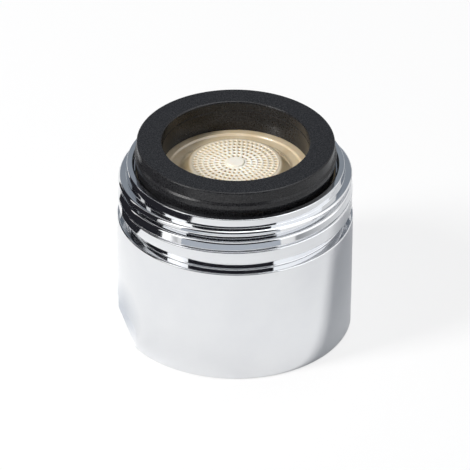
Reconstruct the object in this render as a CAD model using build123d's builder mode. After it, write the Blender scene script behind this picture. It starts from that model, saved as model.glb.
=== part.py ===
from build123d import *
import math
import os

# Tap aerator, standing on its outlet end with its thread up. Sizes are in millimetres.
# The origin is the centre of the outlet end, and +Z runs along the axis towards the tap.

# Housing outside
skirt_diameter = 18.0
skirt_height = 9.5
skirt_chamfer = 0.15
foot_chamfer = 0.15
flat_depth = 0.5
flat_height = 2.6
flat_runout_radius = 1.2
thread_diameter = 17.85
thread_depth = 0.55
thread_length = 2.85
thread_lead_in = 0.1
relief_width = 0.9
relief_depth = 0.65
lip_height = 0.65
lip_taper = 0.1

# Housing inside
rim_wall = 0.6
rim_chamfer = 0.1
seat_depth = 1.9
ledge_width = 0.55
outlet_lip_width = 0.3
outlet_lip_height = 1.0

# Sealing washer
washer_width = 1.9
washer_thickness = 2.55
washer_chamfer = 0.15
washer_clearance = 0.24

# Strainer
strainer_flange = 0.6
strainer_clearance = 0.2
cap_diameter = 7.2
cap_rise = 0.6
cap_shoulder = 0.35
cap_wall = 0.45
cap_side_wall = 0.25
button_radius = 0.67
button_rise = 0.1
strainer_hole = 0.36
strainer_hole_pitch = 0.6
spigot_length = 0.8
spigot_wall = 0.72

# Cartridge sleeve
air_gap = 0.7
pilot_clearance = 0.1
collar_length = 0.8
sleeve_flange = 0.65
sleeve_flange_clearance = 0.15
cup_depth = 3.75
cup_wall = 0.65
shelf_width = 0.65
outlet_recess = 0.9
stack_wall = 0.85
window_count = 6
window_width = 2.4
window_height = 1.5
window_drop = 0.4
rib_width = 0.8
rib_foot = 0.6
rib_length = 4.0

# Jet plate and flow regulator
plate_clearance = 0.05
plate_thickness = 1.0
jet_count = 8
jet_diameter = 0.8
jet_inset = 1.6
core_wall = 0.7
core_lift = 0.4
core_floor = 0.5
hub_radius = 1.3
hub_height = 1.1
hub_rib_count = 6
hub_rib_width = 0.4
hub_rib_reach = 0.4
slot_inset = 0.2
slot_length = 0.9
slot_width = 0.6
ring_section = 1.2
ring_clearance = 0.1

# Mixing grid, screens and outlet grid
stack_clearance = 0.08
stack_rim = 0.7
mixing_grid_height = 1.2
bar_height = 0.35
bar_width = 0.5
bar_pitch = 1.9
screen_thickness = 0.3
screen_pitch = 1.4
screen_gap = 1.0
screen_turn = 45
spacer_height = 0.8
outlet_grid_height = 1.7
cell_width = 1.2
cell_wall = 0.2
snap_height = 0.9
snap_bead = 0.12

# Radii, worked inwards from the outside of the housing
skirt_radius = skirt_diameter / 2
thread_radius = thread_diameter / 2
root_radius = thread_radius - thread_depth
relief_radius = thread_radius - relief_depth
lip_radius = root_radius - lip_taper
seat_radius = root_radius - rim_wall
bore_radius = seat_radius - ledge_width
outlet_radius = bore_radius - outlet_lip_width
washer_radius = seat_radius - washer_clearance
washer_bore_radius = washer_radius - washer_width
strainer_radius = seat_radius - strainer_clearance
cap_radius = cap_diameter / 2
cap_inside_radius = cap_radius - cap_side_wall
sleeve_flange_radius = seat_radius - sleeve_flange_clearance
pilot_radius = bore_radius - pilot_clearance
sleeve_radius = bore_radius - air_gap
cup_radius = sleeve_radius - cup_wall
chamber_radius = cup_radius - shelf_width
stack_bore_radius = sleeve_radius - stack_wall
plate_radius = cup_radius - plate_clearance
spigot_inner_radius = plate_radius - spigot_wall
stack_radius = stack_bore_radius - stack_clearance
stack_open_radius = stack_radius - stack_rim

# Heights above the outlet end
thread_bottom = skirt_height + relief_width
thread_top = thread_bottom + thread_length
housing_height = thread_top + lip_height
ledge_height = housing_height - seat_depth
strainer_bottom = ledge_height + sleeve_flange
washer_bottom = strainer_bottom + strainer_flange
cap_top = washer_bottom + cap_rise
cap_inside_top = cap_top - cap_wall
spigot_bottom = strainer_bottom - spigot_length
shelf_height = strainer_bottom - cup_depth
core_bottom = shelf_height + plate_thickness
core_floor_bottom = core_bottom + core_lift
core_floor_top = core_floor_bottom + core_floor
lower_screen_bottom = outlet_recess + outlet_grid_height
spacer_bottom = lower_screen_bottom + screen_thickness
upper_screen_bottom = spacer_bottom + spacer_height
mixing_grid_bottom = upper_screen_bottom + screen_thickness
stack_top = mixing_grid_bottom + mixing_grid_height
snap_middle = outlet_recess + snap_height

os.makedirs("parts", exist_ok=True)

# Housing: turned profile, then the two spanner flats milled into the foot of the skirt
with BuildPart() as housing:
    with BuildSketch(Plane.XZ):
        with BuildLine():
            Polyline(
                (outlet_radius, 0),
                (skirt_radius, 0),
                (skirt_radius, skirt_height - skirt_chamfer),
                (skirt_radius - skirt_chamfer, skirt_height),
                (relief_radius, skirt_height),
                (relief_radius, thread_bottom),
                (thread_radius, thread_bottom),
                (thread_radius, thread_top - thread_lead_in),
                (root_radius, thread_top),
                (lip_radius, housing_height),
                (seat_radius + rim_chamfer, housing_height),
                (seat_radius, housing_height - rim_chamfer),
                (seat_radius, ledge_height),
                (bore_radius, ledge_height),
                (bore_radius, outlet_lip_height + outlet_lip_width),
                (outlet_radius, outlet_lip_height),
                close=True,
            )
        make_face()
    revolve(axis=Axis.Z)
    with BuildSketch(Plane.XZ):
        with BuildLine():
            flat_face = skirt_radius - flat_depth
            runout_start = flat_height - flat_runout_radius
            flat_line = Line((flat_face, -foot_chamfer), (flat_face, runout_start))
            runout = JernArc(flat_line @ 1, (0, 1), flat_runout_radius, -90)
            outside = skirt_radius + flat_runout_radius
            Polyline(runout @ 1, (outside, flat_height), (outside, -foot_chamfer), flat_line @ 0)
        make_face()
        mirror(about=Plane.YZ)
    extrude(amount=skirt_radius, both=True, mode=Mode.SUBTRACT)
    chamfer(faces().sort_by(Axis.Z)[0].outer_wire().edges(), foot_chamfer)
housing.part.label = "housing"
export_step(housing.part, "parts/housing.step")

# Sealing washer: rubber ring with its top edges broken
with BuildPart() as sealing_washer:
    with BuildSketch(Plane.XZ):
        with Locations((washer_radius - washer_width / 2, washer_bottom + washer_thickness / 2)):
            Rectangle(washer_width, washer_thickness)
        chamfer(vertices().group_by(Axis.Y)[-1], washer_chamfer)
    revolve(axis=Axis.Z)
sealing_washer.part.label = "sealing_washer"
export_step(sealing_washer.part, "parts/sealing_washer.step")

# Strainer: flange, spigot and raised cap, with rows of holes round a smooth centre button
first_row_radius = button_radius + strainer_hole_pitch
strainer_rows = math.ceil((cap_inside_radius - strainer_hole / 2 - first_row_radius) / strainer_hole_pitch)
with BuildPart() as strainer:
    with BuildSketch(Plane.XZ):
        with BuildLine():
            Polyline(
                (0, cap_inside_top),
                (cap_inside_radius, cap_inside_top),
                (cap_inside_radius, strainer_bottom),
                (spigot_inner_radius, strainer_bottom),
                (spigot_inner_radius, spigot_bottom),
                (plate_radius, spigot_bottom),
                (plate_radius, strainer_bottom),
                (strainer_radius, strainer_bottom),
                (strainer_radius, washer_bottom),
                (cap_radius + cap_shoulder, washer_bottom),
                (cap_radius, cap_top),
                (button_radius, cap_top),
                (button_radius, cap_top + button_rise),
                (0, cap_top + button_rise),
                close=True,
            )
        make_face()
    revolve(axis=Axis.Z)
    with BuildSketch(Plane.XY.offset(cap_inside_top)):
        for row in range(strainer_rows):
            row_radius = first_row_radius + row * strainer_hole_pitch
            with PolarLocations(row_radius, round(2 * math.pi * row_radius / strainer_hole_pitch)):
                Rectangle(strainer_hole, strainer_hole)
    extrude(amount=cap_wall, mode=Mode.SUBTRACT)
strainer.part.label = "strainer"
export_step(strainer.part, "parts/strainer.step")

# Cartridge sleeve: flanged tube with a cup for the regulator, air windows and guide ribs
with BuildPart() as cartridge_sleeve:
    with BuildSketch(Plane.XZ):
        with BuildLine():
            Polyline(
                (stack_bore_radius, outlet_recess),
                (sleeve_radius, outlet_recess),
                (sleeve_radius, ledge_height - collar_length),
                (pilot_radius, ledge_height - collar_length),
                (pilot_radius, ledge_height),
                (sleeve_flange_radius, ledge_height),
                (sleeve_flange_radius, strainer_bottom),
                (cup_radius, strainer_bottom),
                (cup_radius, shelf_height),
                (chamber_radius, shelf_height),
                (chamber_radius, stack_top),
                (stack_bore_radius, stack_top),
                (stack_bore_radius, snap_middle + snap_bead),
                (stack_bore_radius + snap_bead, snap_middle),
                (stack_bore_radius, snap_middle - snap_bead),
                close=True,
            )
        make_face()
    revolve(axis=Axis.Z)
    window_middle = shelf_height - window_drop - window_height / 2
    with Locations((0, 0, window_middle)):
        with PolarLocations(sleeve_radius, window_count, start_angle=180 / window_count):
            Box(sleeve_radius, window_width, window_height, mode=Mode.SUBTRACT)
    rib_bottom = outlet_lip_height + outlet_lip_width + rib_foot
    rib_root = sleeve_radius - stack_wall / 2
    with BuildSketch(Plane.XY.offset(rib_bottom)):
        with PolarLocations((rib_root + pilot_radius) / 2, window_count):
            Rectangle(pilot_radius - rib_root, rib_width)
    extrude(amount=rib_length)
cartridge_sleeve.part.label = "cartridge_sleeve"
export_step(cartridge_sleeve.part, "parts/cartridge_sleeve.step")

# Jet plate: disc with a ring of small jets
with BuildPart() as jet_plate:
    with BuildSketch(Plane.XY.offset(shelf_height)):
        Circle(plate_radius)
    extrude(amount=plate_thickness)
    with Locations((0, 0, core_bottom)):
        with PolarLocations(plate_radius - jet_inset, jet_count):
            Hole(jet_diameter / 2)
jet_plate.part.label = "jet_plate"
export_step(jet_plate.part, "parts/jet_plate.step")

# Regulator core: dish with a ribbed hub for the rubber ring and slots below it
ring_inner_radius = hub_radius + hub_rib_reach + ring_clearance
with BuildPart() as regulator_core:
    with BuildSketch(Plane.XY.offset(core_bottom)):
        Circle(plate_radius)
        Circle(plate_radius - core_wall, mode=Mode.SUBTRACT)
    extrude(amount=spigot_bottom - core_bottom)
    with BuildSketch(Plane.XY.offset(core_floor_bottom)):
        Circle(plate_radius - core_wall / 2)
    extrude(amount=core_floor)
    with BuildSketch(Plane.XY.offset(core_floor_top)):
        Circle(hub_radius)
        with PolarLocations(hub_radius, hub_rib_count):
            Rectangle(2 * hub_rib_reach, hub_rib_width)
    extrude(amount=hub_height)
    slot_middle = hub_radius + slot_inset + slot_length / 2
    with BuildSketch(Plane.XY.offset(core_floor_top)):
        with PolarLocations(slot_middle, hub_rib_count, start_angle=180 / hub_rib_count):
            Rectangle(slot_length, slot_width)
    extrude(amount=-core_floor, mode=Mode.SUBTRACT)
regulator_core.part.label = "regulator_core"
export_step(regulator_core.part, "parts/regulator_core.step")

# Regulator ring: soft rubber ring of square section that lies on the core's floor round the hub
with BuildPart() as regulator_ring:
    with BuildSketch(Plane.XZ):
        with Locations((ring_inner_radius + ring_section / 2, core_floor_top + ring_section / 2)):
            Rectangle(ring_section, ring_section)
    revolve(axis=Axis.Z)
regulator_ring.part.label = "regulator_ring"
export_step(regulator_ring.part, "parts/regulator_ring.step")

# Mixing grid: rim with two layers of crossed bars at its top
bar_count = 2 * math.floor(stack_open_radius / bar_pitch) + 1
with BuildPart() as mixing_grid:
    with BuildSketch(Plane.XY.offset(mixing_grid_bottom)):
        Circle(stack_radius)
        Circle(stack_open_radius, mode=Mode.SUBTRACT)
    extrude(amount=mixing_grid_height)
    for layer in range(2):
        with BuildSketch(Plane.XY.offset(stack_top - layer * bar_height).rotated((0, 0, 90 * layer))):
            with GridLocations(bar_pitch, bar_pitch, 1, bar_count):
                Rectangle(2 * stack_radius, bar_width)
            Circle(stack_open_radius + stack_rim / 2, mode=Mode.INTERSECT)
        extrude(amount=-bar_height)
mixing_grid.part.label = "mixing_grid"
export_step(mixing_grid.part, "parts/mixing_grid.step")


def wire_screen(bottom, turn):
    """Disc of wire cloth, solid where its edge is clamped between the rings."""
    reach = stack_open_radius - screen_gap / math.sqrt(2)
    count = 2 * math.ceil(reach / screen_pitch) + 1
    grid = [spot.position for spot in GridLocations(screen_pitch, screen_pitch, count, count)]
    gap_centres = [centre for centre in grid if centre.length <= reach]
    with BuildPart() as screen:
        with BuildSketch(Plane.XY.offset(bottom).rotated((0, 0, turn))):
            Circle(stack_radius)
            with Locations(*gap_centres):
                Rectangle(screen_gap, screen_gap, mode=Mode.SUBTRACT)
        extrude(amount=screen_thickness)
    return screen.part


# Screens: two wire discs, the lower one turned against the upper
upper_screen = wire_screen(upper_screen_bottom, 0)
upper_screen.label = "upper_screen"
export_step(upper_screen, "parts/upper_screen.step")
lower_screen = wire_screen(lower_screen_bottom, screen_turn)
lower_screen.label = "lower_screen"
export_step(lower_screen, "parts/lower_screen.step")

# Screen spacer: plain ring between the screens
with BuildPart() as screen_spacer:
    with BuildSketch(Plane.XY.offset(spacer_bottom)):
        Circle(stack_radius)
        Circle(stack_open_radius, mode=Mode.SUBTRACT)
    extrude(amount=spacer_height)
screen_spacer.part.label = "screen_spacer"
export_step(screen_spacer.part, "parts/screen_spacer.step")

# Outlet grid: honeycomb disc with a bead that snaps into the sleeve
cell_pitch = cell_width + cell_wall
cell_column = cell_pitch * math.sqrt(3) / 2
cell_reach = stack_open_radius - cell_width / math.sqrt(3)
cell_span = math.ceil(2 * cell_reach / cell_column)
cell_centres = []
for across in range(-cell_span, cell_span + 1):
    for along in range(-cell_span, cell_span + 1):
        centre = Vector(across * cell_column, (along + across / 2) * cell_pitch)
        if centre.length <= cell_reach:
            cell_centres.append(centre)
with BuildPart() as outlet_grid:
    with BuildSketch(Plane.XZ):
        with BuildLine():
            Polyline(
                (0, outlet_recess),
                (stack_radius, outlet_recess),
                (stack_radius, snap_middle - snap_bead),
                (stack_radius + snap_bead, snap_middle),
                (stack_radius, snap_middle + snap_bead),
                (stack_radius, lower_screen_bottom),
                (0, lower_screen_bottom),
                close=True,
            )
        make_face()
    revolve(axis=Axis.Z)
    with BuildSketch(Plane.XY.offset(outlet_recess)):
        with Locations(*cell_centres):
            RegularPolygon(cell_width / 2, 6, major_radius=False)
    extrude(amount=outlet_grid_height, mode=Mode.SUBTRACT)
outlet_grid.part.label = "outlet_grid"
export_step(outlet_grid.part, "parts/outlet_grid.step")
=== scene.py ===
import math

import bmesh
import bpy
import numpy as np
from mathutils import Matrix, Vector
from mathutils.geometry import delaunay_2d_cdt


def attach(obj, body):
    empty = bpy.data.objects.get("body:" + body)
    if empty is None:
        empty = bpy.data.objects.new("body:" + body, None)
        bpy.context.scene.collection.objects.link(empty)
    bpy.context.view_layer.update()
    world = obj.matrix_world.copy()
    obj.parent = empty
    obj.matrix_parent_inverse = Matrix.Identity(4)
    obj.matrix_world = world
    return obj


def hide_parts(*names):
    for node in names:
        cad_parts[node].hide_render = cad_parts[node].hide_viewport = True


# Tap aerator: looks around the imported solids. Sizes are in millimetres and turn into metres in add_piece.
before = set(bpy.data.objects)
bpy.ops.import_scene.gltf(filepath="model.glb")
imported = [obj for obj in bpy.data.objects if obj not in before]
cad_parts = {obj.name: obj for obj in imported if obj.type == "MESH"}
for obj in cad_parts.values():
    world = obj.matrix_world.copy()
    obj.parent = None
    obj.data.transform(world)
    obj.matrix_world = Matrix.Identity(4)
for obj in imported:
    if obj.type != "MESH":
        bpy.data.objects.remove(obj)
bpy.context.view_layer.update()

MM = 0.001

# Meshes: points this close are merged, edges this short go, and a corner this flat counts as straight
MERGE_DISTANCE = 0.0005
LEAST_EDGE = 0.0002
STRAIGHT_HALF = math.radians(89.9)

# Camera as the photograph was taken
VIEW_AZIMUTH = -14.5
VIEW_ELEVATION = 32.7
VIEW_DISTANCE = 468.0
VIEW_HEIGHT = 7.29
VIEW_ROLL = 0.5
FRAME_WIDTH = 36.0

# Housing: the sizes of the solids, with small roundings at the edges
SKIRT_RADIUS = 9.0
SKIRT_HEIGHT = 9.5
SKIRT_EDGE = 0.1
FLAT_FACE = 8.5
FLAT_HEIGHT = 2.6
FLAT_RUNOUT = 1.2
FLAT_EDGE = 0.05
LEAST_COSINE = 0.2
RELIEF_RADIUS = 8.275
RELIEF_LOWER_ROUND = 0.1
RELIEF_UPPER_ROUND = 0.08
THREAD_BOTTOM = 10.4
THREAD_EDGE = 0.06
THREAD_TOP = 13.25
THREAD_RADIUS = 8.925
ROOT_RADIUS = 8.375
LIP_RADIUS = 8.275
HOUSING_HEIGHT = 13.9
SEAT_RADIUS = 7.775
LEDGE_HEIGHT = 12.0
LEDGE_EDGE = 0.05
BORE_RADIUS = 7.225
OUTLET_RADIUS = 6.925
OUTLET_LIP = 1.0
OUTLET_LIP_RISE = 0.3
OUTLET_LIP_EDGE = 0.03
OUTLET_EDGE = 0.06
RIM_CHAMFER = 0.1
RIM_EDGE = 0.03
FOOT_EDGE = [(0.17, 0.0), (0.12, 0.01), (0.05, 0.06), (0.01, 0.12), (0.0, 0.17)]  # inset and height
FOOT_WIDTH = 0.2

# Columns of the housing's mesh in degrees, closer at the flats, and a shift in radians off the seam
FLAT_SPAN = 23
FLAT_COLUMN = 0.5
PLAIN_COLUMN = 1.6
COLUMN_SHIFT = 1e-6

# Rows of the housing's mesh, where those of the flats are a start, an end and a step
FLAT_ROWS = (0.3, 1.4, 0.12)
RUNOUT_ROWS = (1.4, 2.6, 0.035)
SKIRT_ROWS = [2.7, 4.0, 6.0, 8.0, 9.0]
RELIEF_ROWS_START = 9.1
RELIEF_ROWS_END = THREAD_BOTTOM + 0.1
THREAD_ROWS_START = THREAD_BOTTOM + 0.12
SEAT_ROWS_START = LEDGE_HEIGHT + 1.0
LEDGE_ROWS_START = LEDGE_HEIGHT + 0.9
THREAD_TURNS = 5
ROWS_TO_ROOT = 22

# Thread, right-hand, whose groove gets shallower towards its end at the relief
THREAD_PITCH = 1.0
GROOVE_FRONT = 12.51
GROOVE_MOUTH = 0.2
GROOVE_MOUTH_GAIN = 0.46
GROOVE_MOUTH_START = 11.5
GROOVE_MOUTH_LEAST = 0.06
GROOVE_MOUTH_MOST = 0.66
GROOVE_DEPTH_SHARE = 1.15
GROOVE_DEPTH_MOST = 0.72
GROOVE_SHELF_RISE = 0.02
GROOVE_END = 11.2
GROOVE_FADE = 0.1
CREST_GAP = 0.02
CREST_START = 0.75 * CREST_GAP
CREST_ROUND = 0.2
CREST_ROUND_SHARE = 0.45
CREST_SLOPE = math.tan(math.radians(17))
CREST_WEAR_SHARE = 0.3
FLANK_SLOPE = math.tan(math.radians(30))
FLANK_SHARE = 0.6
ROOT_ROUND = 0.03
ROOT_ROUND_SHARE = 0.06
CORNER_ROUND = 0.01
CORNER_GAP = 0.015
ROW_GAP = 0.0005

# Last crest, which is cut down to its shelf from TAPER_START on, over TAPER_LENGTH degrees
LAST_CREST_DROP = 0.05
LAST_CREST_LEAST = 0.1
LAST_CREST_FOOT = 0.04
LAST_CREST_FOOT_ROUND = 0.08
LAST_CREST_ROUND_SHARE = 0.6
LAST_SHELF_EXTRA = 0.04
LAST_SHELF_RISE = 0.01
TAPER_START = 100
TAPER_LENGTH = 70
TAPER_LEFT = 0.03
TAPER_ROUND = 0.005
LEAST_STEP = 0.001
LIP_EDGE = 0.06

# Sealing washer
WASHER_RADIUS = 7.535
WASHER_BORE = 5.635
WASHER_BOTTOM = 13.25
WASHER_TOP = 15.8
WASHER_BEAD = 0.14
WASHER_BEAD_TOP = 14.92
WASHER_BEAD_DROP = 0.17
WASHER_BEAD_ROUND = 0.1
WASHER_NECK_ROUND = 0.08
WASHER_EDGE = 0.12
WASHER_FOOT_EDGE = 0.08
WASHER_FOOT_WIDTH = 0.4
PARTING_BOTTOM, PARTING_MIDDLE, PARTING_TOP = 14.9, 14.95, 15.0
PARTING_RIDGE = 0.02

# Strainer
STRAINER_RADIUS = 7.575
STRAINER_BOTTOM = 12.65
SPIGOT_RADIUS = 5.825
SPIGOT_BORE = 5.105
SPIGOT_BOTTOM = 11.85
CAP_EDGE = 3.48
CAP_FOOT = 4.35
CAP_INSIDE = 3.35
CAP_TOP = 13.85
CAP_UNDERSIDE = 13.4
BUTTON_RADIUS = 0.67
BUTTON_FOOT = BUTTON_RADIUS + 0.06
BUTTON_TOP = 13.95
BUTTON_FOOT_ROUND = 0.02
BUTTON_EDGE = 0.06
FIRST_ROW = BUTTON_RADIUS + 0.33
ROW_PITCH = 0.42
HOLE_PITCH = 0.36
HOLE_LENGTH = 0.39
HOLE_WIDTH_SHARE = 0.88
HOLE_CORNER_SHARE = 0.7
HOLE_BEVEL = 0.12
PAN_RADIUS = 5.05
PAN_STEP = 0.12
PAN_DEPTH = 0.12
PAN_EDGE = 0.12
PAN_FOOT_ROUND = 0.1
STRAINER_EDGE = 0.05
CAP_ROUND = 0.4
PALE_SHEEN_RADIUS = 1.6
CAP_COLUMNS = 128

# Stack in the sleeve
STACK_RADIUS = 5.595
STACK_OPEN = 4.895
SCREEN_THICKNESS = 0.3
SCREEN_PITCH = 0.45
WIRE_RADIUS = SCREEN_THICKNESS / 4
WIRE_SIDES = 6
WIRE_STEPS = 4
UPPER_SCREEN_BOTTOM = 3.7
LOWER_SCREEN_BOTTOM = 2.6
LOWER_SCREEN_TURN = 45.0
GRID_BOTTOM = 0.9
GRID_TOP = 2.6
GRID_BOTTOM_EDGE = 0.08
GRID_TOP_EDGE = 0.05
SNAP_MIDDLE = 1.8
SNAP_BEAD = 0.12
SNAP_ROUND = 0.04
SNAP_FOOT_ROUND = 0.02
CELL_WIDTH = 1.2
CELL_PITCH = 1.4
CELL_BEVEL = 0.06
GRID_COLUMNS = 128

# Steps of a rounded hole edge
BEVEL_STEPS = 3

# Materials: the range that noise mostly stays in and how rough it is, how far a full bump stands out in
# metres, how rough rubber is, how much roughness varies, and how far each colour of light goes into plastic
NOISE_LOW, NOISE_HIGH = 0.3, 0.7
NOISE_ROUGHNESS = 0.55
BUMP_DISTANCE = 0.00002
RUBBER_ROUGHNESS = 0.4
RUBBER_SPREAD = 0.06
PLASTIC_SPREAD = 0.05
PLASTIC_REACH = (1.0, 0.7, 0.4)

# Stage: distances in metres, and in millimetres for the cards on the floor
FLOOR_RADIUS = 0.4
FLOOR_OPENING = 8.3 * MM
FLOOR_COLUMNS = 64
FLOOR_SHADE = 0.9
FLOOR_WHITE_SHARE = 0.8
CARD_DISTANCE = 0.25
CARD_COLUMNS, CARD_ROWS = 16, 8
FADE_START, FADE_END = 0.1, 0.4
GROUND_CARD_HEIGHT = 0.2
LAMP_DISTANCE = 0.3
FILL_COLOUR = (0.9, 0.93, 1.0)
FILL_ABOVE, FILL_BELOW = 0.25, 0.8
FILL_CHANGE = -0.05
BLACK = (0.02, 0.02, 0.025)
SLATE = (0.5, 0.54, 0.6)

FRONT_ANGLE = math.radians(VIEW_AZIMUTH - 90)


# Mesh helpers

def add_piece(name, points, faces, node, slot, material, sharp=40):
    """New mesh piece that stands for a CAD node, from points in millimetres."""
    mesh = bpy.data.meshes.new(name)
    mesh.from_pydata((np.asarray(points, float) * MM).tolist(), [], faces)
    shape = bmesh.new()
    shape.from_mesh(mesh)
    bmesh.ops.remove_doubles(shape, verts=shape.verts, dist=MERGE_DISTANCE * MM)
    bmesh.ops.dissolve_degenerate(shape, edges=shape.edges, dist=LEAST_EDGE * MM)
    bmesh.ops.delete(shape, geom=[v for v in shape.verts if not v.link_faces], context="VERTS")
    bmesh.ops.recalc_face_normals(shape, faces=shape.faces)
    shape.to_mesh(mesh)
    shape.free()
    mesh.shade_smooth()
    mesh.set_sharp_from_angle(angle=math.radians(sharp))
    piece = bpy.data.objects.new(name, mesh)
    bpy.context.scene.collection.objects.link(piece)
    mesh.materials.append(material)
    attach(piece, "root")
    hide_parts(node)


def rounded(corners, steps=4, guard=0.02):
    """Outline in radius and height through corners given as (radius, height, rounding).

    A guard row beside each rounding keeps the flats' normals true."""
    outline = []
    count = len(corners)
    for i, (r, z, rounding) in enumerate(corners):
        here = Vector((r, z))
        if rounding == 0 or i in (0, count - 1):
            outline.append((r, z))
            continue
        before = (Vector(corners[i - 1][:2]) - here).normalized()
        after = (Vector(corners[i + 1][:2]) - here).normalized()
        half = before.angle(after) / 2
        if half > STRAIGHT_HALF:
            shares = [1 - 2 * step / (steps + 2) for step in range(steps + 3)]
            outline += [tuple(here + before * guard * share) for share in shares]
            continue
        reach = rounding / math.tan(half)
        middle = here + (before + after).normalized() * rounding / math.sin(half)
        start = (here + before * reach - middle).normalized()
        end = (here + after * reach - middle).normalized()
        outline.append(tuple(here + before * (reach + guard)))
        for step in range(steps + 1):
            outline.append(tuple(middle + start.slerp(end, step / steps) * rounding))
        outline.append(tuple(here + after * (reach + guard)))
    return outline


def ring_faces(columns, rows, closed=True):
    """Quads of a grid that closes round the axis, and in the outline's direction too where closed."""
    faces = []
    for column in range(columns):
        here, following = column * rows, (column + 1) % columns * rows
        for row in range(rows if closed else rows - 1):
            above = (row + 1) % rows
            faces.append((here + row, following + row, following + above, here + above))
    return faces


def turned(outline, columns=192, closed=True):
    """Points and faces of an outline turned round the axis."""
    points = []
    for column in range(columns):
        angle = 2 * math.pi * column / columns
        points.extend((r * math.cos(angle), r * math.sin(angle), z) for r, z in outline)
    return points, ring_faces(columns, len(outline), closed)


def joined(*meshes):
    """One list of points and faces from several."""
    points, faces = [], []
    for more_points, more_faces in meshes:
        shift = len(points)
        points.extend(more_points)
        faces.extend(tuple(i + shift for i in face) for face in more_faces)
    return points, faces


def circle(radius, count):
    """Flat points spaced evenly round the axis."""
    angles = [2 * math.pi * i / count for i in range(count)]
    return [(radius * math.cos(angle), radius * math.sin(angle)) for angle in angles]


def perforated(outer, inner, holes, bevel, top, bottom):
    """Plate between two outlines, with holes whose edges are rounded at the top.

    Outer and inner are lists of flat points, and holes are lists of those."""
    spots = [Vector(p) for p in outer] + [Vector(p) for p in inner]
    edges = [(i, (i + 1) % len(outer)) for i in range(len(outer))]
    edges += [(len(outer) + i, len(outer) + (i + 1) % len(inner)) for i in range(len(inner))]
    loops = []
    inward = [Vector((0, 0))] * len(spots)
    for hole in holes:
        first = len(spots)
        middle = sum((Vector(p) for p in hole), Vector((0, 0))) / len(hole)
        loop = [first + i for i in range(len(hole))]
        edges += [(loop[i], loop[(i + 1) % len(loop)]) for i in range(len(loop))]
        loops.append(loop)
        spots += [Vector(p) for p in hole]
        inward += [(middle - Vector(p)).normalized() for p in hole]
    _, _, triangles, sources, _, _ = delaunay_2d_cdt(spots, edges, [], 0, 1e-9)
    back = [source[0] for source in sources]
    owner = {index: number for number, loop in enumerate(loops) for index in loop}
    flat = []
    for triangle in triangles:
        corners = [back[i] for i in triangle]
        owners = {owner.get(i, -1) for i in corners}
        if len(owners) == 1 and -1 not in owners:
            continue
        if inner and all(len(outer) <= i < len(outer) + len(inner) for i in corners):
            continue
        flat.append(corners)
    count = len(spots)
    tilts = np.linspace(0, math.pi / 2, BEVEL_STEPS + 1)
    levels = [(bevel * math.sin(tilt), top - bevel * (1 - math.cos(tilt))) for tilt in tilts]
    levels.append((bevel, bottom))
    points = [(*(p + q * reach), height) for reach, height in levels for p, q in zip(spots, inward)]
    last = (BEVEL_STEPS + 1) * count
    faces = [tuple(corners) for corners in flat]
    faces += [tuple(last + i for i in reversed(corners)) for corners in flat]
    for loop in loops:
        for this, other in zip(loop, loop[1:] + loop[:1]):
            for level in range(0, last, count):
                faces.append((level + this, level + other, level + count + other, level + count + this))
    return points, faces


# Materials

def new_material(name):
    """Material with its nodes, its links, its shader and the place on the object."""
    material = bpy.data.materials.new(name)
    material.use_nodes = True
    nodes = material.node_tree.nodes
    links = material.node_tree.links
    shader = nodes["Principled BSDF"]
    place = nodes.new("ShaderNodeTexCoord")
    return material, nodes, links, shader, place.outputs["Object"]


def noise(nodes, links, place, scale, detail=4.0):
    """Noise value by the place on the object."""
    texture = nodes.new("ShaderNodeTexNoise")
    texture.inputs["Scale"].default_value = scale
    texture.inputs["Detail"].default_value = detail
    texture.inputs["Roughness"].default_value = NOISE_ROUGHNESS
    links.new(place, texture.inputs["Vector"])
    return texture.outputs["Fac"]


def spread(nodes, links, source, low, high):
    """The noise value, stretched to run from low to high."""
    ramp = nodes.new("ShaderNodeMapRange")
    ramp.inputs["From Min"].default_value = NOISE_LOW
    ramp.inputs["From Max"].default_value = NOISE_HIGH
    ramp.inputs["To Min"].default_value = low
    ramp.inputs["To Max"].default_value = high
    links.new(source, ramp.inputs["Value"])
    return ramp.outputs["Result"]


def tint(nodes, links, source, dark, light):
    """Colour between dark and light by the noise value."""
    ramp = nodes.new("ShaderNodeValToRGB")
    ramp.color_ramp.elements[0].position = NOISE_LOW
    ramp.color_ramp.elements[1].position = NOISE_HIGH
    ramp.color_ramp.elements[0].color = (*dark, 1)
    ramp.color_ramp.elements[1].color = (*light, 1)
    links.new(source, ramp.inputs["Fac"])
    return ramp.outputs["Color"]


def distance_across(nodes, links, place, middle):
    """Distance from an upright axis through middle."""
    level = nodes.new("ShaderNodeVectorMath")
    level.operation = "MULTIPLY"
    level.inputs[1].default_value = (1, 1, 0)
    links.new(place, level.inputs[0])
    length = nodes.new("ShaderNodeVectorMath")
    length.operation = "DISTANCE"
    length.inputs[1].default_value = (*middle, 0)
    links.new(level.outputs["Vector"], length.inputs[0])
    return length.outputs["Value"]


def between(nodes, links, source, low, high):
    """0 below low, 1 above high, and even between them."""
    ramp = nodes.new("ShaderNodeMapRange")
    ramp.inputs["From Min"].default_value = low
    ramp.inputs["From Max"].default_value = high
    links.new(source, ramp.inputs["Value"])
    return ramp.outputs["Result"]


def blended(nodes, links, share, first, second):
    """Colour that goes from first to second with share."""
    mix = nodes.new("ShaderNodeMix")
    mix.data_type = "RGBA"
    links.new(share, mix.inputs["Factor"])
    links.new(first, mix.inputs[6])
    links.new(second, mix.inputs[7])
    return mix.outputs[2]


def add_bump(nodes, links, shader, source, strength):
    """Let a value raise the surface."""
    bump = nodes.new("ShaderNodeBump")
    bump.inputs["Strength"].default_value = strength
    bump.inputs["Distance"].default_value = BUMP_DISTANCE
    links.new(source, bump.inputs["Height"])
    links.new(bump.outputs["Normal"], shader.inputs["Normal"])


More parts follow.
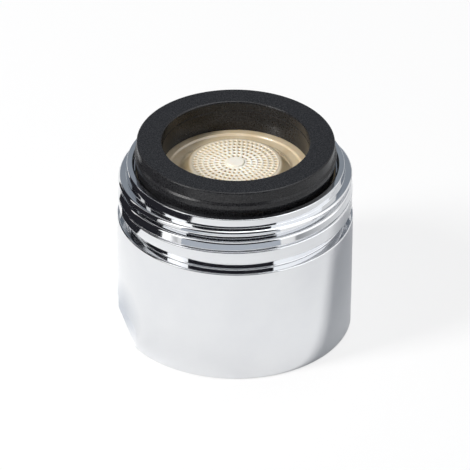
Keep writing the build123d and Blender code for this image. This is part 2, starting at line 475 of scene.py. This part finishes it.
def chrome():
    material, nodes, links, shader, place = new_material("chrome_plate")
    shader.inputs["Metallic"].default_value = 1.0
    cloud = noise(nodes, links, place, scale=180.0)
    rough = spread(nodes, links, noise(nodes, links, place, scale=700.0), 0.035, 0.075)
    links.new(tint(nodes, links, cloud, (0.71, 0.72, 0.74), (0.77, 0.78, 0.79)), shader.inputs["Base Color"])
    links.new(rough, shader.inputs["Roughness"])
    add_bump(nodes, links, shader, noise(nodes, links, place, scale=250.0, detail=2.0), strength=0.04)
    return material


def rubber(name, dark, light, shine):
    material, nodes, links, shader, place = new_material(name)
    shader.inputs["Specular IOR Level"].default_value = shine
    shader.inputs["Coat Weight"].default_value = 0.65
    shader.inputs["Coat Roughness"].default_value = 0.22
    grain = noise(nodes, links, place, scale=9000.0, detail=3.0)
    links.new(tint(nodes, links, grain, dark, light), shader.inputs["Base Color"])
    rough = spread(nodes, links, grain, RUBBER_ROUGHNESS - RUBBER_SPREAD, RUBBER_ROUGHNESS + RUBBER_SPREAD)
    links.new(rough, shader.inputs["Roughness"])
    add_bump(nodes, links, shader, grain, strength=0.5)
    return material


def translucent(shader, weight, depth):
    """Let light a little way into the plastic."""
    shader.inputs["Subsurface Weight"].default_value = weight
    shader.inputs["Subsurface Radius"].default_value = PLASTIC_REACH
    shader.inputs["Subsurface Scale"].default_value = depth


def plastic(name, dark, light, roughness):
    material, nodes, links, shader, place = new_material(name)
    translucent(shader, weight=0.1, depth=0.0004)
    cloud = noise(nodes, links, place, scale=900.0)
    links.new(tint(nodes, links, cloud, dark, light), shader.inputs["Base Color"])
    fine = noise(nodes, links, place, scale=3000.0)
    rough = spread(nodes, links, fine, roughness - PLASTIC_SPREAD, roughness + PLASTIC_SPREAD)
    links.new(rough, shader.inputs["Roughness"])
    add_bump(nodes, links, shader, noise(nodes, links, place, scale=5000.0, detail=2.0), strength=0.2)
    return material


def strainer_ivory():
    """Tan disc whose cap is paler towards the middle, a painted sheen, with painted shade in yellow-brown
    down in its holes.
    """
    material, nodes, links, shader, place = new_material("strainer_ivory")
    shader.inputs["Specular IOR Level"].default_value = 0.8
    shader.inputs["Coat Weight"].default_value = 1.0
    shader.inputs["Coat Roughness"].default_value = 0.1
    translucent(shader, weight=0.15, depth=0.0003)
    cloud = noise(nodes, links, place, scale=900.0)
    rim = tint(nodes, links, cloud, (0.62, 0.49, 0.31), (0.72, 0.60, 0.42))
    # Pale colour of the cap between its holes: painted sheen, lighter than the tan rim
    sheen_web = tint(nodes, links, cloud, (0.88, 0.82, 0.68), (0.95, 0.91, 0.81))
    # Yellow-brown down in the holes: painted shade
    hole = tint(nodes, links, cloud, (0.44, 0.27, 0.06), (0.56, 0.38, 0.12))
    parts = nodes.new("ShaderNodeSeparateXYZ")
    links.new(place, parts.inputs["Vector"])
    # Below the top of the cap the painted shade of the holes takes over from the pale web
    height = between(nodes, links, parts.outputs["Z"], (CAP_TOP - HOLE_BEVEL) * MM, CAP_TOP * MM)
    radius = distance_across(nodes, links, place, (0, 0))
    # The painted sheen fades from the middle of the cap out to its foot
    outside = between(nodes, links, radius, PALE_SHEEN_RADIUS * MM, CAP_FOOT * MM)
    cap = blended(nodes, links, height, hole, sheen_web)
    links.new(blended(nodes, links, outside, cap, rim), shader.inputs["Base Color"])
    rough = spread(nodes, links, noise(nodes, links, place, scale=3000.0), 0.14, 0.26)
    links.new(rough, shader.inputs["Roughness"])
    add_bump(nodes, links, shader, noise(nodes, links, place, scale=5000.0, detail=2.0), strength=0.2)
    return material


def wire():
    material, nodes, links, shader, place = new_material("screen_wire")
    shader.inputs["Metallic"].default_value = 1.0
    cloud = noise(nodes, links, place, scale=3000.0)
    rough = spread(nodes, links, noise(nodes, links, place, scale=8000.0), 0.2, 0.35)
    links.new(tint(nodes, links, cloud, (0.55, 0.56, 0.58), (0.74, 0.75, 0.76)), shader.inputs["Base Color"])
    links.new(rough, shader.inputs["Roughness"])
    return material


chrome_plate = chrome()
washer_rubber = rubber("washer_rubber", (0.001, 0.001, 0.002), (0.029, 0.029, 0.031), shine=0.0)
ring_rubber = rubber("ring_rubber", (0.02, 0.02, 0.022), (0.035, 0.035, 0.038), shine=0.4)
ivory_plastic = plastic("ivory_plastic", (0.62, 0.53, 0.38), (0.72, 0.64, 0.50), roughness=0.3)
white_plastic = plastic("white_plastic", (0.78, 0.78, 0.76), (0.86, 0.86, 0.85), roughness=0.42)
strainer_plastic = strainer_ivory()
screen_wire = wire()


# Housing: turned shell with the helical groove of the thread and the two milled flats

def smooth_least(a, b, width):
    """The smaller of two values, with the corner between them rounded."""
    blend = np.clip(0.5 + 0.5 * (b - a) / width, 0, 1)
    return b + (a - b) * blend - width * blend * (1 - blend)


def skirt_outline(angle, height):
    """Radius of the skirt at this angle and height, where the flats cut it."""
    rise = np.clip(height - (FLAT_HEIGHT - FLAT_RUNOUT), 0, FLAT_RUNOUT)
    flat = FLAT_FACE + FLAT_RUNOUT - np.sqrt(FLAT_RUNOUT**2 - rise**2)
    reach = flat / np.maximum(np.abs(np.cos(angle)), LEAST_COSINE)
    return smooth_least(SKIRT_RADIUS, reach, FLAT_EDGE)


def groove_start(angle):
    """Height of the middle of the groove that passes the front at GROOVE_FRONT."""
    turn = (angle - FRONT_ANGLE + math.pi) % (2 * math.pi) - math.pi
    return GROOVE_FRONT + THREAD_PITCH * turn / (2 * math.pi)


def groove_mouth(middle):
    """Width of the groove at its mouth, by the height of its middle."""
    mouth = GROOVE_MOUTH + GROOVE_MOUTH_GAIN * (middle - GROOVE_MOUTH_START)
    return min(GROOVE_MOUTH_MOST, max(GROOVE_MOUTH_LEAST, mouth))


def groove_top(middle):
    """Height where the crest above the groove starts."""
    return middle + groove_mouth(middle) / 2 + CREST_GAP


def groove_share(middle):
    """How much of the groove is there, from nothing at its end to all of it."""
    return min(1.0, max(0.0, (middle - GROOVE_END) / GROOVE_FADE))


def groove_profile(middle):
    """Depths and heights across one groove, from the crest below its lower edge to the crest above it."""
    mouth = groove_mouth(middle)
    deep = min(GROOVE_DEPTH_MOST, GROOVE_DEPTH_SHARE * mouth)
    edge = middle - mouth / 2
    below = middle - THREAD_PITCH
    crest_foot = groove_top(below)
    worn = min(CREST_WEAR_SHARE * deep, CREST_SLOPE * groove_share(below) * (edge - crest_foot))
    profile = rounded([
        (0.0, crest_foot, 0),
        (0.0, crest_foot + CORNER_GAP, CORNER_ROUND),
        (worn, edge, min(CREST_ROUND, CREST_ROUND_SHARE * (deep - worn))),
        (deep, edge + GROOVE_SHELF_RISE * deep, min(ROOT_ROUND, ROOT_ROUND_SHARE * deep)),
        (deep, edge + mouth - min(FLANK_SHARE * mouth, FLANK_SLOPE * deep), CORNER_ROUND),
        (0.0, edge + mouth, CORNER_ROUND),
        (0.0, edge + mouth + CREST_START, 0),
    ], guard=CORNER_ROUND)
    share = groove_share(middle)
    heights = [height for _, height in profile]
    for i in range(1, len(heights)):
        heights[i] = max(heights[i], heights[i - 1] + ROW_GAP)
    return [share * depth for depth, _ in profile], heights


def thread_outline(angle, height):
    """Radius of the thread at this angle and height."""
    middle = groove_start(angle)
    middle += THREAD_PITCH * math.floor((height - middle) / THREAD_PITCH)
    if height >= groove_top(middle):
        middle += THREAD_PITCH
    depths, heights = groove_profile(middle)
    return THREAD_RADIUS - float(np.interp(height, heights, depths))


def thread_top(angle):
    """Outline from the last crest over its shelf, the lip and the rim into the seat."""
    below = groove_start(angle)
    crest_foot = groove_top(below)
    edge = min(below + THREAD_PITCH - GROOVE_MOUTH_MOST / 2, THREAD_TOP - LAST_CREST_DROP)
    foot = min(crest_foot, edge - CREST_ROUND - LAST_CREST_LEAST)
    turn = (below - GROOVE_FRONT) / THREAD_PITCH * 360
    taper = min(1.0, max(0.0, (turn - TAPER_START) / TAPER_LENGTH))
    root = THREAD_RADIUS - ROOT_RADIUS + LAST_SHELF_EXTRA
    inset = taper * (root - TAPER_LEFT)
    worn = max(inset + LEAST_STEP, CREST_SLOPE * (edge - foot))
    crest_round = max(2 * LEAST_STEP, min(CREST_ROUND, LAST_CREST_ROUND_SHARE * (root - worn)))
    outline = rounded([
        (THREAD_RADIUS - inset, foot, 0),
        (THREAD_RADIUS - inset, foot + LAST_CREST_FOOT, LAST_CREST_FOOT_ROUND),
        (THREAD_RADIUS - worn, edge, crest_round),
        (THREAD_RADIUS - root, edge + LAST_SHELF_RISE, ROOT_ROUND if taper == 0 else TAPER_ROUND),
        (LIP_RADIUS, HOUSING_HEIGHT, LIP_EDGE),
        (SEAT_RADIUS + RIM_CHAMFER, HOUSING_HEIGHT, RIM_EDGE),
        (SEAT_RADIUS, HOUSING_HEIGHT - RIM_CHAMFER, RIM_EDGE),
        (SEAT_RADIUS, SEAT_ROWS_START, 0),
    ])
    return [(min(r, thread_outline(angle, z)) if z < crest_foot else r, z) for r, z in outline]


def housing_mesh():
    """Points and faces of the shell, column by column from the seam at the back."""
    near_flat = np.radians(np.arange(-FLAT_SPAN, FLAT_SPAN, FLAT_COLUMN))
    rest = np.radians(np.arange(FLAT_SPAN, 180 - FLAT_SPAN, PLAIN_COLUMN))
    angles = np.concatenate([near_flat, rest, near_flat + math.pi, rest + math.pi])
    seam = (FRONT_ANGLE + math.pi) % (2 * math.pi)
    angles = np.sort((angles - seam) % (2 * math.pi)) + seam + COLUMN_SHIFT

    skirt_heights = [*np.arange(*FLAT_ROWS), *np.arange(*RUNOUT_ROWS), *SKIRT_ROWS]
    relief = rounded([
        (SKIRT_RADIUS, RELIEF_ROWS_START, 0),
        (SKIRT_RADIUS, SKIRT_HEIGHT, SKIRT_EDGE),
        (RELIEF_RADIUS, SKIRT_HEIGHT, RELIEF_LOWER_ROUND),
        (RELIEF_RADIUS, THREAD_BOTTOM, RELIEF_UPPER_ROUND),
        (THREAD_RADIUS, THREAD_BOTTOM, THREAD_EDGE),
        (THREAD_RADIUS, RELIEF_ROWS_END, 0),
    ])
    bore = rounded([
        (SEAT_RADIUS, LEDGE_ROWS_START, 0),
        (SEAT_RADIUS, LEDGE_HEIGHT, LEDGE_EDGE),
        (BORE_RADIUS, LEDGE_HEIGHT, LEDGE_EDGE),
        (BORE_RADIUS, OUTLET_LIP + OUTLET_LIP_RISE, OUTLET_LIP_EDGE),
        (OUTLET_RADIUS, OUTLET_LIP, OUTLET_LIP_EDGE),
        (OUTLET_RADIUS, 0.0, OUTLET_EDGE),
        (OUTLET_RADIUS + FOOT_WIDTH, 0.0, 0),
    ], steps=2)
    turns = range(1 - THREAD_TURNS, 1)
    columns = []
    for angle in angles:
        column = [(float(skirt_outline(angle, z)) - inset, z) for inset, z in FOOT_EDGE]
        column += [(float(skirt_outline(angle, z)), z) for z in skirt_heights]
        column += relief
        top = thread_top(angle)
        for turn in turns:
            for height in groove_profile(groove_start(angle) + THREAD_PITCH * turn)[1]:
                height = min(top[0][1] - LEAST_STEP, max(THREAD_ROWS_START, height))
                column.append((thread_outline(angle, height), height))
        columns.append(column + top + bore)
    rows = len(columns[0])
    points = [
        (r * math.cos(angle), r * math.sin(angle), z)
        for angle, column in zip(angles, columns)
        for r, z in column
    ]

    # The thread climbs one turn from the last column to the first, where its last groove opens to the lip
    per_turn = len(groove_profile(GROOVE_FRONT)[1])
    before_thread = len(FOOT_EDGE) + len(skirt_heights) + len(relief)
    last_turn = before_thread + per_turn * (len(turns) - 1)
    before_top = last_turn + per_turn
    climb = {row: row for row in range(rows)}
    for row in range(before_thread, last_turn):
        climb[row] = row + per_turn
    for row in range(last_turn, before_top + ROWS_TO_ROOT):
        climb[row] = before_top + min(row - last_turn, ROWS_TO_ROOT - 1)

    faces = []
    for column in range(len(columns)):
        last = column == len(columns) - 1
        for row in range(rows):
            above = (row + 1) % rows
            following = 0 if last else (column + 1) * rows
            corners = dict.fromkeys((
                column * rows + row,
                following + (climb[row] if last else row),
                following + (climb[above] if last else above),
                column * rows + above,
            ))
            faces.append(tuple(corners))
    return points, faces


add_piece("housing_shell", *housing_mesh(), "housing", "chrome_plate", chrome_plate, sharp=70)

# Sealing washer: moulded ring with soft edges, a low bead outside and a faint parting line in its bore
washer = rounded([
    (WASHER_BORE + WASHER_FOOT_WIDTH, WASHER_BOTTOM, 0),
    (WASHER_BORE, WASHER_BOTTOM, WASHER_FOOT_EDGE),
    (WASHER_BORE, PARTING_BOTTOM, PARTING_RIDGE),
    (WASHER_BORE - PARTING_RIDGE, PARTING_MIDDLE, PARTING_RIDGE),
    (WASHER_BORE, PARTING_TOP, PARTING_RIDGE),
    (WASHER_BORE, WASHER_TOP, WASHER_EDGE),
    (WASHER_RADIUS, WASHER_TOP, WASHER_EDGE),
    (WASHER_RADIUS, WASHER_BEAD_TOP, WASHER_NECK_ROUND),
    (WASHER_RADIUS + WASHER_BEAD, WASHER_BEAD_TOP - WASHER_BEAD_DROP, WASHER_BEAD_ROUND),
    (WASHER_RADIUS + WASHER_BEAD, WASHER_BEAD_TOP - 3 * WASHER_BEAD_DROP, 2 * WASHER_BEAD_ROUND),
    (WASHER_RADIUS, HOUSING_HEIGHT, WASHER_BEAD_ROUND),
    (WASHER_RADIUS, WASHER_BOTTOM, WASHER_FOOT_EDGE),
    (WASHER_RADIUS - WASHER_FOOT_WIDTH, WASHER_BOTTOM, 0),
])
add_piece("washer_ring", *turned(washer), "sealing_washer", "washer_rubber", washer_rubber)


# Strainer: moulded disc whose cap is pierced by rows of fine holes

def pierced_rows():
    """Holes of the cap, row by row, as outlines with cut corners."""
    holes = []
    radius = FIRST_ROW
    half_along = HOLE_LENGTH / 2
    turn = 0.0
    while radius < CAP_INSIDE - half_along:
        count = round(2 * math.pi * radius / HOLE_PITCH)
        long_side = half_along * HOLE_CORNER_SHARE
        half_across = HOLE_WIDTH_SHARE * math.pi * (radius - long_side) / count
        short_side = half_across * HOLE_CORNER_SHARE
        outline = [
            (half_along, -short_side),
            (half_along, short_side),
            (long_side, half_across),
            (-long_side, half_across),
            (-half_along, short_side),
            (-half_along, -short_side),
            (-long_side, -half_across),
            (long_side, -half_across),
        ]
        for number in range(count):
            angle = 2 * math.pi * (number + turn) / count
            cos, sin = math.cos(angle), math.sin(angle)
            holes.append([((radius + u) * cos - v * sin, (radius + u) * sin + v * cos) for u, v in outline])
        radius += ROW_PITCH
        turn = 0.5 - turn
    return holes


cap_plate = perforated(
    circle(CAP_INSIDE, CAP_COLUMNS),
    circle(BUTTON_FOOT, CAP_COLUMNS),
    pierced_rows(),
    HOLE_BEVEL,
    CAP_TOP,
    CAP_UNDERSIDE,
)
cap_rim = turned(rounded([
    (CAP_INSIDE, CAP_UNDERSIDE, 0),
    (CAP_INSIDE, STRAINER_BOTTOM, STRAINER_EDGE),
    (SPIGOT_BORE, STRAINER_BOTTOM, STRAINER_EDGE),
    (SPIGOT_BORE, SPIGOT_BOTTOM, STRAINER_EDGE),
    (SPIGOT_RADIUS, SPIGOT_BOTTOM, STRAINER_EDGE),
    (SPIGOT_RADIUS, STRAINER_BOTTOM, STRAINER_EDGE),
    (STRAINER_RADIUS, STRAINER_BOTTOM, STRAINER_EDGE),
    (STRAINER_RADIUS, WASHER_BOTTOM, STRAINER_EDGE),
    (PAN_RADIUS + PAN_STEP, WASHER_BOTTOM, PAN_EDGE),
    (PAN_RADIUS, WASHER_BOTTOM - PAN_DEPTH, PAN_FOOT_ROUND),
    (CAP_FOOT, WASHER_BOTTOM - PAN_DEPTH, CAP_ROUND),
    (CAP_EDGE, CAP_TOP, CAP_ROUND),
    (CAP_INSIDE, CAP_TOP, 0),
]), CAP_COLUMNS, closed=False)
button = turned(rounded([
    (BUTTON_FOOT, CAP_TOP, 0),
    (BUTTON_RADIUS, CAP_TOP, BUTTON_FOOT_ROUND),
    (BUTTON_RADIUS, BUTTON_TOP, BUTTON_EDGE),
    (0.0, BUTTON_TOP, 0),
]), CAP_COLUMNS, closed=False)
button_under = turned([(0.0, CAP_UNDERSIDE), (BUTTON_FOOT, CAP_UNDERSIDE)], CAP_COLUMNS, closed=False)
strainer_mesh = joined(cap_plate, cap_rim, button, button_under)
add_piece("strainer_disc", *strainer_mesh, "strainer", "ivory_plastic", strainer_plastic, sharp=50)


# Screens: woven wires that pass over and under each other

def woven(bottom, turn):
    """Wire cloth, cut round, with its wires as tubes that wave between two layers."""
    meshes = []
    count = math.floor((STACK_RADIUS - WIRE_RADIUS) / SCREEN_PITCH)
    middle = bottom + SCREEN_THICKNESS / 2
    for direction in (0, 1):
        for number in range(-count, count + 1):
            offset = number * SCREEN_PITCH
            half = math.sqrt((STACK_RADIUS - WIRE_RADIUS) ** 2 - offset**2)
            steps = max(WIRE_STEPS, round(2 * half / SCREEN_PITCH * WIRE_STEPS))
            points, faces = [], []
            for step in range(steps + 1):
                along = -half + 2 * half * step / steps
                phase = math.pi * (along / SCREEN_PITCH + number + direction)
                lift = WIRE_RADIUS * math.cos(phase)
                for side in range(WIRE_SIDES):
                    angle = 2 * math.pi * side / WIRE_SIDES
                    across = offset + WIRE_RADIUS * math.cos(angle)
                    height = middle + lift + WIRE_RADIUS * math.sin(angle)
                    x, y = (along, across) if direction == 0 else (across, along)
                    points.append((x, y, height))
            for step in range(steps):
                here, following = step * WIRE_SIDES, (step + 1) * WIRE_SIDES
                for side in range(WIRE_SIDES):
                    other = (side + 1) % WIRE_SIDES
                    faces.append((here + side, here + other, following + other, following + side))
            faces.append(tuple(range(WIRE_SIDES)))
            faces.append(tuple(steps * WIRE_SIDES + side for side in reversed(range(WIRE_SIDES))))
            meshes.append((points, faces))
    points, faces = joined(*meshes)
    turned_by = Matrix.Rotation(math.radians(turn), 3, "Z")
    return [tuple(turned_by @ Vector(p)) for p in points], faces


for name, node, bottom, turn in (
    ("upper_screen_weave", "upper_screen", UPPER_SCREEN_BOTTOM, 0),
    ("lower_screen_weave", "lower_screen", LOWER_SCREEN_BOTTOM, LOWER_SCREEN_TURN),
):
    add_piece(name, *woven(bottom, turn), node, "screen_wire", screen_wire, sharp=80)


# Outlet grid: honeycomb with soft edges inside a rim with its snap bead

def honeycomb():
    """Outlines of the six-sided cells that fit in the grid's rim."""
    column = CELL_PITCH * math.sqrt(3) / 2
    cell_radius = CELL_WIDTH / math.sqrt(3)
    reach = STACK_OPEN - cell_radius
    span = math.ceil(2 * reach / column)
    cells = []
    for across in range(-span, span + 1):
        for along in range(-span, span + 1):
            middle = Vector((across * column, (along + across / 2) * CELL_PITCH))
            if middle.length <= reach:
                cells.append([tuple(middle + Vector(p)) for p in circle(cell_radius, 6)])
    return cells


# Its cells are rounded at the outlet, so the plate is made upside down
grid_rim_inside = circle(STACK_OPEN, GRID_COLUMNS)
points, faces = perforated(grid_rim_inside, [], honeycomb(), CELL_BEVEL, -GRID_BOTTOM, -GRID_TOP)
grid_plate = ([(x, -y, -z) for x, y, z in points], faces)
grid_rim = turned(rounded([
    (STACK_OPEN, GRID_TOP, 0),
    (STACK_RADIUS, GRID_TOP, GRID_TOP_EDGE),
    (STACK_RADIUS, SNAP_MIDDLE + SNAP_BEAD, SNAP_FOOT_ROUND),
    (STACK_RADIUS + SNAP_BEAD, SNAP_MIDDLE, SNAP_ROUND),
    (STACK_RADIUS, SNAP_MIDDLE - SNAP_BEAD, SNAP_FOOT_ROUND),
    (STACK_RADIUS, GRID_BOTTOM, GRID_BOTTOM_EDGE),
    (STACK_OPEN, GRID_BOTTOM, 0),
]), GRID_COLUMNS, closed=False)
add_piece("outlet_honeycomb", *joined(grid_plate, grid_rim), "outlet_grid", "white_plastic", white_plastic)

# Pieces that stay as the solids are
for node, material in (
    ("cartridge_sleeve", white_plastic),
    ("jet_plate", white_plastic),
    ("regulator_core", ivory_plastic),
    ("regulator_ring", ring_rubber),
    ("mixing_grid", white_plastic),
    ("screen_spacer", white_plastic),
):
    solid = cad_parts[node]
    solid.data.materials.clear()
    solid.data.materials.append(material)


# Stage: pale floor, soft key light from the left, cards that only reflections show

def stage_mesh(name, points, faces, material):
    """Mesh that belongs to the stage and not to the object."""
    mesh = bpy.data.meshes.new(name)
    mesh.from_pydata(points, [], faces)
    thing = bpy.data.objects.new(name, mesh)
    bpy.context.scene.collection.objects.link(thing)
    mesh.materials.append(material)
    return thing


def floor_material():
    """White paper that keeps a faint shadow, lit and shaded in reflections, and open from below."""
    material = bpy.data.materials.new("floor_white")
    material.use_nodes = True
    nodes, links = material.node_tree.nodes, material.node_tree.links
    nodes.clear()
    out = nodes.new("ShaderNodeOutputMaterial")
    path = nodes.new("ShaderNodeLightPath")
    side = nodes.new("ShaderNodeNewGeometry")
    paper = nodes.new("ShaderNodeBsdfDiffuse")
    paper.inputs["Color"].default_value = (FLOOR_SHADE, FLOOR_SHADE, FLOOR_SHADE, 1)
    white = nodes.new("ShaderNodeEmission")
    clear = nodes.new("ShaderNodeBsdfTransparent")
    share = nodes.new("ShaderNodeMath")
    share.operation = "MULTIPLY"
    share.inputs[1].default_value = FLOOR_WHITE_SHARE
    links.new(path.outputs["Is Camera Ray"], share.inputs[0])
    seen = nodes.new("ShaderNodeMixShader")
    links.new(share.outputs["Value"], seen.inputs["Fac"])
    links.new(paper.outputs["BSDF"], seen.inputs[1])
    links.new(white.outputs["Emission"], seen.inputs[2])
    whole = nodes.new("ShaderNodeMixShader")
    links.new(side.outputs["Backfacing"], whole.inputs["Fac"])
    links.new(seen.outputs["Shader"], whole.inputs[1])
    links.new(clear.outputs["BSDF"], whole.inputs[2])
    links.new(whole.outputs["Shader"], out.inputs["Surface"])
    return material


def glow_material(name, colour, strength, soft=False):
    """Even glow, which fades out towards the edge of the card where soft."""
    material = bpy.data.materials.new(name)
    material.use_nodes = True
    nodes, links = material.node_tree.nodes, material.node_tree.links
    nodes.clear()
    out = nodes.new("ShaderNodeOutputMaterial")
    glow = nodes.new("ShaderNodeEmission")
    glow.inputs["Color"].default_value = (*colour, 1)
    glow.inputs["Strength"].default_value = strength
    links.new(glow.outputs["Emission"], out.inputs["Surface"])
    if soft:
        place = nodes.new("ShaderNodeTexCoord")
        away = distance_across(nodes, links, place.outputs["Generated"], (0.5, 0.5))
        clear = nodes.new("ShaderNodeBsdfTransparent")
        edge = nodes.new("ShaderNodeMixShader")
        links.new(between(nodes, links, away, FADE_START, FADE_END), edge.inputs["Fac"])
        links.new(glow.outputs["Emission"], edge.inputs[1])
        links.new(clear.outputs["BSDF"], edge.inputs[2])
        links.new(edge.outputs["Shader"], out.inputs["Surface"])
    return material


floor_ring = turned([(FLOOR_RADIUS, 0.0), (FLOOR_OPENING, 0.0)], FLOOR_COLUMNS, closed=False)
stage_mesh("floor", *floor_ring, floor_material())


def toward(azimuth, elevation):
    """Direction seen from the object, with azimuth from the camera's side to the right of the picture."""
    a = math.radians(VIEW_AZIMUTH + azimuth)
    e = math.radians(elevation)
    return Vector((math.sin(a) * math.cos(e), -math.cos(a) * math.cos(e), math.sin(e)))


def only_reflected(thing):
    """Hide a card from everything but reflections."""
    thing.visible_camera = False
    thing.visible_diffuse = False
    thing.visible_shadow = False
    thing.visible_transmission = False


def card(name, azimuths, elevations, colour, strength=1.0):
    """Curved card round the object between two azimuths and two elevations, which only reflections show."""
    points = []
    for i in range(CARD_COLUMNS + 1):
        azimuth = azimuths[0] + (azimuths[1] - azimuths[0]) * i / CARD_COLUMNS
        for j in range(CARD_ROWS + 1):
            elevation = elevations[0] + (elevations[1] - elevations[0]) * j / CARD_ROWS
            points.append(tuple(toward(azimuth, elevation) * CARD_DISTANCE))
    rows = CARD_ROWS + 1
    faces = [
        (i * rows + j, (i + 1) * rows + j, (i + 1) * rows + j + 1, i * rows + j + 1)
        for i in range(CARD_COLUMNS)
        for j in range(CARD_ROWS)
    ]
    only_reflected(stage_mesh(name, points, faces, glow_material(name, colour, strength)))


def ground_card(name, outline, colour, soft=False):
    """Flat card on the floor, which only reflections show.

    Its corners are distances to the right and to the front."""
    right, front, up = toward(90, 0), toward(0, 0), Vector((0, 0, GROUND_CARD_HEIGHT))
    points = [tuple((right * x + front * y + up) * MM) for x, y in outline]
    faces = [tuple(range(len(points)))]
    only_reflected(stage_mesh(name, points, faces, glow_material(name, colour, 1.0, soft)))


card("dark_front", (-50, 41), (13, 60), BLACK)
card("pale_front", (-50, 41), (7, 13), (0.85, 0.87, 0.9))
card("slate_front", (-50, 41), (0, 7), SLATE)
card("dark_left", (-106, -75), (0, 70), BLACK)
card("dark_back_left", (-135, -113), (0, 70), BLACK)
card("bright_left", (-75, -50), (8, 62), (1.0, 1.0, 1.0), 1.6)
card("bright_right", (41, 110), (8, 62), (0.97, 0.98, 1.0), 1.5)
card("grey_back", (140, 225), (8, 52), (0.28, 0.31, 0.35))
# Soft grey card on the floor by the left flat: painted shade near the foot, which the flat shows in its
# reflection
ground_card("contact_shade_ground", [(-4, 5), (-14, 5), (-14, -5), (-4, -5)], (0.78, 0.81, 0.86), soft=True)
ground_card("slate_ground", [(-77, 64), (-190, 160), (0, 250), (164, 190), (66, 75), (0, 100)], SLATE)
ground_card("dark_ground", [
    (-24, 60), (-24, 1), (-21, -3), (-18.6, -8), (-16, -11),
    (-28, -28), (-100, -80), (-250, -180), (-250, 60),
], BLACK)


def soft_light(name, azimuth, elevation, size, energy, colour):
    """Soft box that faces the object."""
    lamp = bpy.data.lights.new(name, "AREA")
    lamp.shape = "RECTANGLE"
    lamp.size, lamp.size_y = size
    lamp.energy = energy
    lamp.color = colour
    box = bpy.data.objects.new(name, lamp)
    away = toward(azimuth, elevation)
    box.location = away * LAMP_DISTANCE
    box.rotation_euler = (-away).to_track_quat("-Z", "Y").to_euler()
    bpy.context.scene.collection.objects.link(box)


soft_light("key", azimuth=-65, elevation=42, size=(0.06, 0.12), energy=0.92, colour=(1.0, 0.99, 0.97))
soft_light("top", azimuth=150, elevation=72, size=(0.15, 0.15), energy=0.2, colour=(0.95, 0.97, 1.0))


def add_world():
    """White where the camera, reflections or clear things show it, and a bluish fill for the rest."""
    world = bpy.data.worlds.new("studio")
    bpy.context.scene.world = world
    world.use_nodes = True
    nodes, links = world.node_tree.nodes, world.node_tree.links
    nodes.clear()
    out = nodes.new("ShaderNodeOutputWorld")
    path = nodes.new("ShaderNodeLightPath")
    fill = nodes.new("ShaderNodeBackground")
    fill.inputs["Color"].default_value = (*FILL_COLOUR, 1)
    heading = nodes.new("ShaderNodeTexCoord")
    parts = nodes.new("ShaderNodeSeparateXYZ")
    links.new(heading.outputs["Generated"], parts.inputs["Vector"])
    from_below = nodes.new("ShaderNodeMapRange")
    from_below.inputs["From Min"].default_value = 0.0
    from_below.inputs["From Max"].default_value = FILL_CHANGE
    from_below.inputs["To Min"].default_value = FILL_ABOVE
    from_below.inputs["To Max"].default_value = FILL_BELOW
    links.new(parts.outputs["Z"], from_below.inputs["Value"])
    links.new(from_below.outputs["Result"], fill.inputs["Strength"])
    white = nodes.new("ShaderNodeBackground")
    white.inputs["Color"].default_value = (1, 1, 1, 1)
    shown = nodes.new("ShaderNodeMath")
    shown.operation = "MAXIMUM"
    links.new(path.outputs["Is Camera Ray"], shown.inputs[0])
    links.new(path.outputs["Is Glossy Ray"], shown.inputs[1])
    shown_too = nodes.new("ShaderNodeMath")
    shown_too.operation = "MAXIMUM"
    links.new(shown.outputs["Value"], shown_too.inputs[0])
    links.new(path.outputs["Is Transmission Ray"], shown_too.inputs[1])
    mix = nodes.new("ShaderNodeMixShader")
    links.new(shown_too.outputs["Value"], mix.inputs["Fac"])
    links.new(fill.outputs["Background"], mix.inputs[1])
    links.new(white.outputs["Background"], mix.inputs[2])
    links.new(mix.outputs["Shader"], out.inputs["Surface"])


def add_camera():
    """Camera at the photograph's viewing angle."""
    lens = bpy.data.cameras.new("camera")
    lens.sensor_width = FRAME_WIDTH
    lens.lens = VIEW_DISTANCE
    lens.clip_start, lens.clip_end = 0.01, 10
    camera = bpy.data.objects.new("camera", lens)
    bpy.context.scene.collection.objects.link(camera)
    away = toward(0, VIEW_ELEVATION)
    roll = Matrix.Rotation(math.radians(VIEW_ROLL), 3, "Z").to_quaternion()
    camera.location = Vector((0, 0, VIEW_HEIGHT * MM)) + away * VIEW_DISTANCE * MM
    camera.rotation_mode = "QUATERNION"
    camera.rotation_quaternion = (-away).to_track_quat("-Z", "Y") @ roll
    bpy.context.scene.camera = camera


add_world()
add_camera()
bpy.context.scene.view_settings.view_transform = "Standard"
